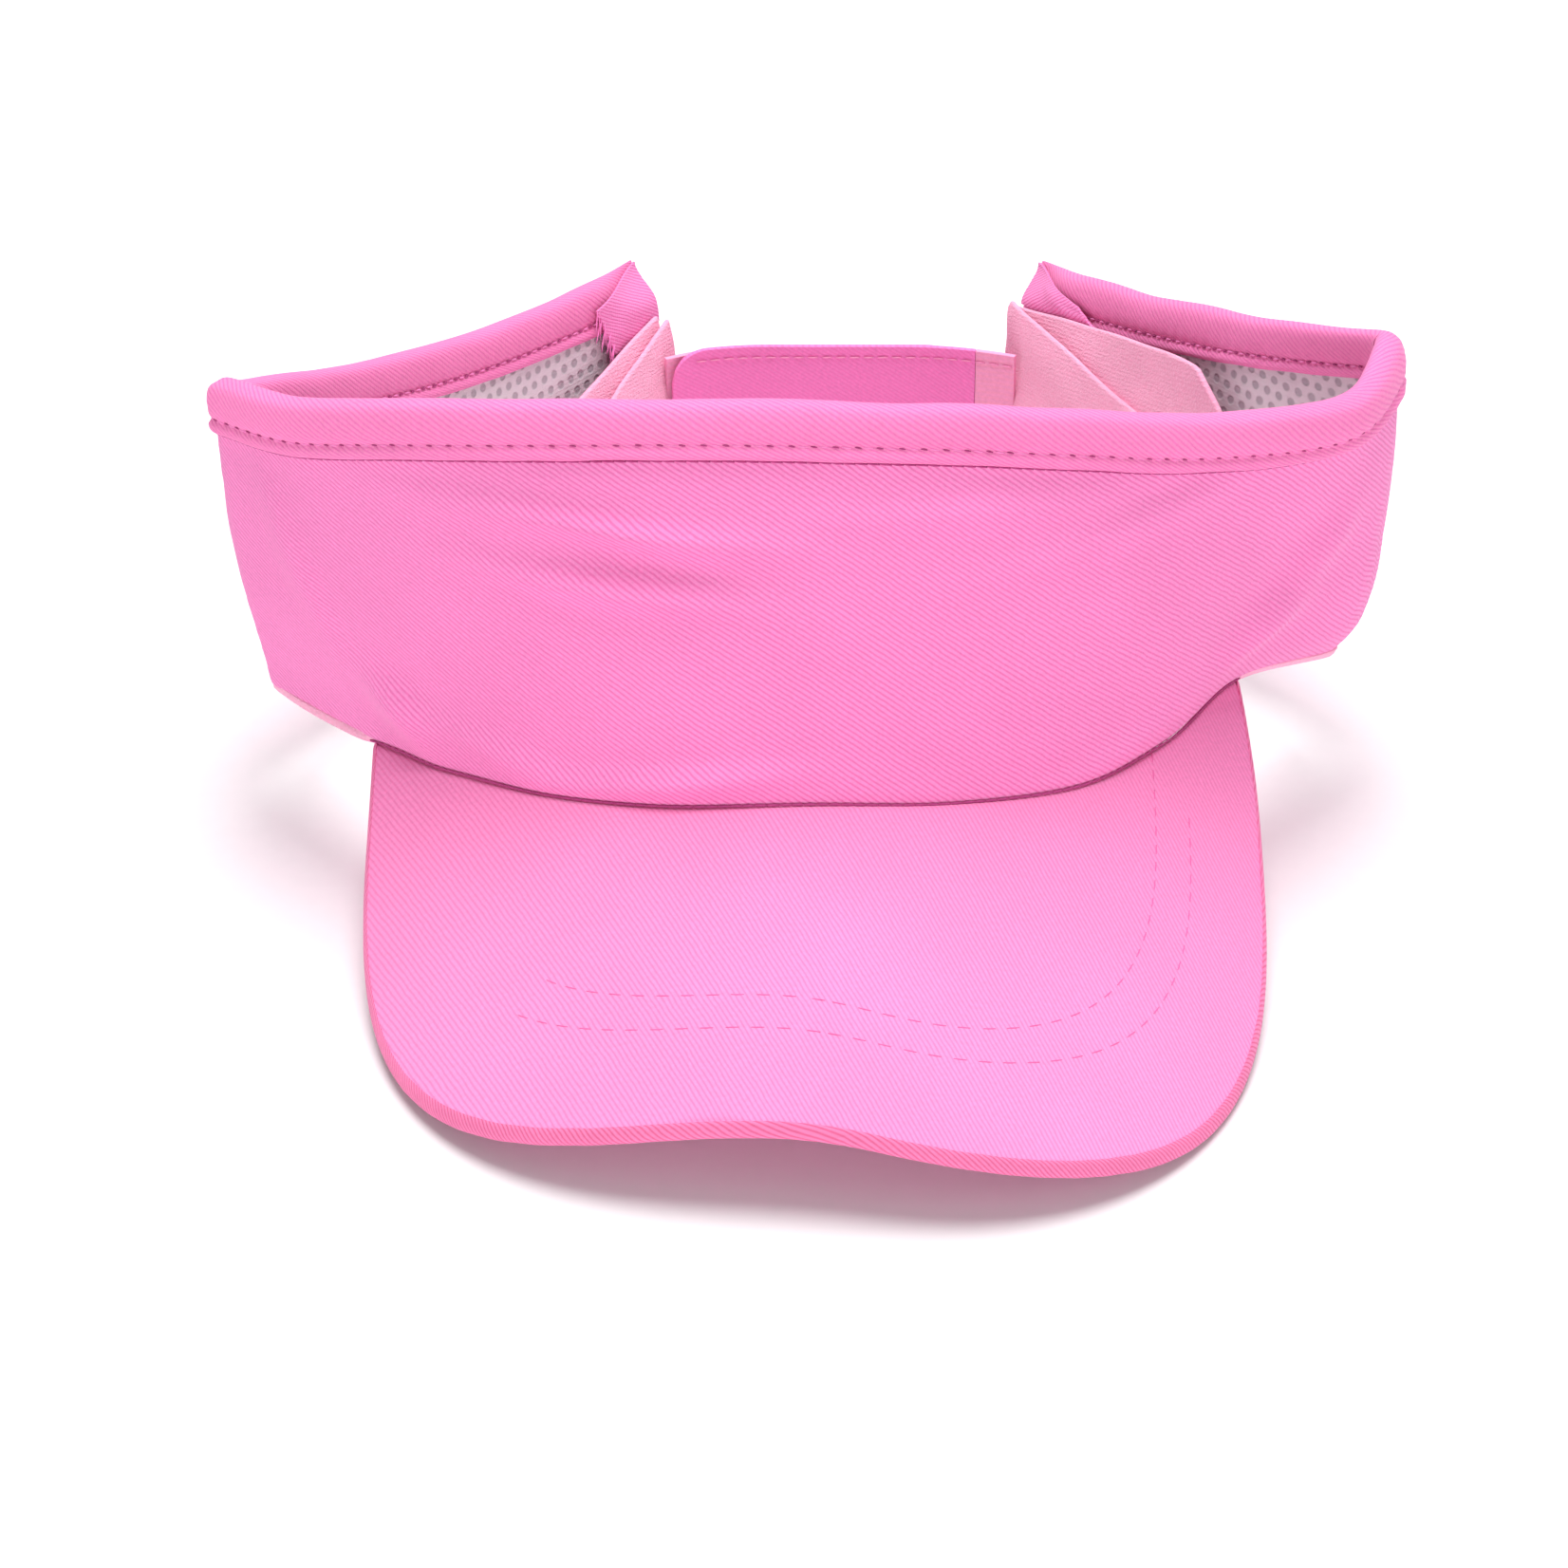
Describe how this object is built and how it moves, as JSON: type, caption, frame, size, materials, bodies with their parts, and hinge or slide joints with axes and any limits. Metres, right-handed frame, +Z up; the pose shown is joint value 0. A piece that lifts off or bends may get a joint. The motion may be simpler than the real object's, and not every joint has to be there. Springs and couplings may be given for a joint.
{
  "type": "sun visor",
  "caption": "Open-crowned cloth sun visor with a stiff arched brim, mesh-lined twill band, bound top edge and a hook-and-loop closing strap behind the head.",
  "frame": {"origin": "on the floor under the centre of the bounding box", "axes": "+Z up as the visor lies on a table, -Y to the brim's front edge, +Y to the closing strap, +X to the right as seen from in front of the brim"},
  "size_m": [0.1974, 0.2446, 0.0973],
  "materials": {
    "pink_twill": "matt cotton twill",
    "pale_terry": "soft brushed sweatband cloth",
    "white_mesh": "matt open spacer mesh",
    "strap_pink": "brushed loop tape",
    "pale_tape": "woven tape",
    "stiffener": "bonded nonwoven",
    "board_plastic": "matt sheet",
    "hook_nylon": "fine nylon hooks"
  },
  "bodies": {
    "front": {"crown_front_panel": "pink_twill", "crown_interfacing": "stiffener", "mesh_lining_front": "white_mesh", "brim_seam_allowance": "pink_twill", "sweatband_front": "pale_terry", "binding_front": "pink_twill", "brim_top_cloth": "pink_twill", "brim_board": "board_plastic", "brim_under_cloth": "pink_twill", "brim_edge": "pink_twill"},
    "left_wing": {"wing_panel_left": "pink_twill", "mesh_lining_left": "white_mesh", "sweatband_left": "pale_terry", "binding_left": "pink_twill", "binding_end_left": "pink_twill", "sweatband_patch_left": "pale_terry", "sweatband_flap_left": "pale_terry", "strap_anchor_left": "pale_tape"},
    "right_wing": {"wing_panel_right": "pink_twill", "mesh_lining_right": "white_mesh", "sweatband_right": "pale_terry", "binding_right": "pink_twill", "binding_end_right": "pink_twill", "sweatband_patch_right": "pale_terry", "sweatband_flap_right": "pale_terry", "strap_anchor_right": "pale_tape"},
    "outer_base": {"strap_outer_base": "pale_tape"},
    "outer_end": {"strap_outer_end": "pale_tape", "hook_patch": "hook_nylon"},
    "inner_strap": {"strap_tab_right": "pale_tape", "strap_inner": "strap_pink", "loop_patch": "strap_pink"}
  },
  "joints": [
    {"name": "left_wing_flex", "type": "hinge", "parent": "front", "child": "left_wing", "pos_m": [-0.09226, 0.00538, 0.01724], "axis": [-0.1159, -0.0149, 0.9932], "range_deg": [0, 9]},
    {"name": "right_wing_flex", "type": "hinge", "parent": "front", "child": "right_wing", "pos_m": [0.09261, 0.01364, 0.01925], "axis": [0.1051, 0.0145, 0.9944], "range_deg": [-11.2, 0]},
    {"name": "left_strap_turn", "type": "hinge", "parent": "left_wing", "child": "outer_base", "pos_m": [-0.02488, 0.10705, 0.01398], "axis": [-0.1159, -0.0149, 0.9932], "range_deg": [-9, 0]},
    {"name": "right_strap_turn", "type": "hinge", "parent": "right_wing", "child": "inner_strap", "pos_m": [0.03842, 0.10515, 0.01398], "axis": [0.1051, 0.0145, 0.9944], "range_deg": [0, 11.2]},
    {"name": "strap_peel", "type": "hinge", "parent": "outer_base", "child": "outer_end", "pos_m": [0.00212, 0.11204, 0.01398], "axis": [0, 0, 1], "range_deg": [0, 100]}
  ],
  "couplings": [
    {"joint": "right_wing_flex", "follows": "left_wing_flex", "ratio": -1.24},
    {"joint": "left_strap_turn", "follows": "left_wing_flex", "ratio": -1},
    {"joint": "right_strap_turn", "follows": "left_wing_flex", "ratio": 1.24}
  ]
}
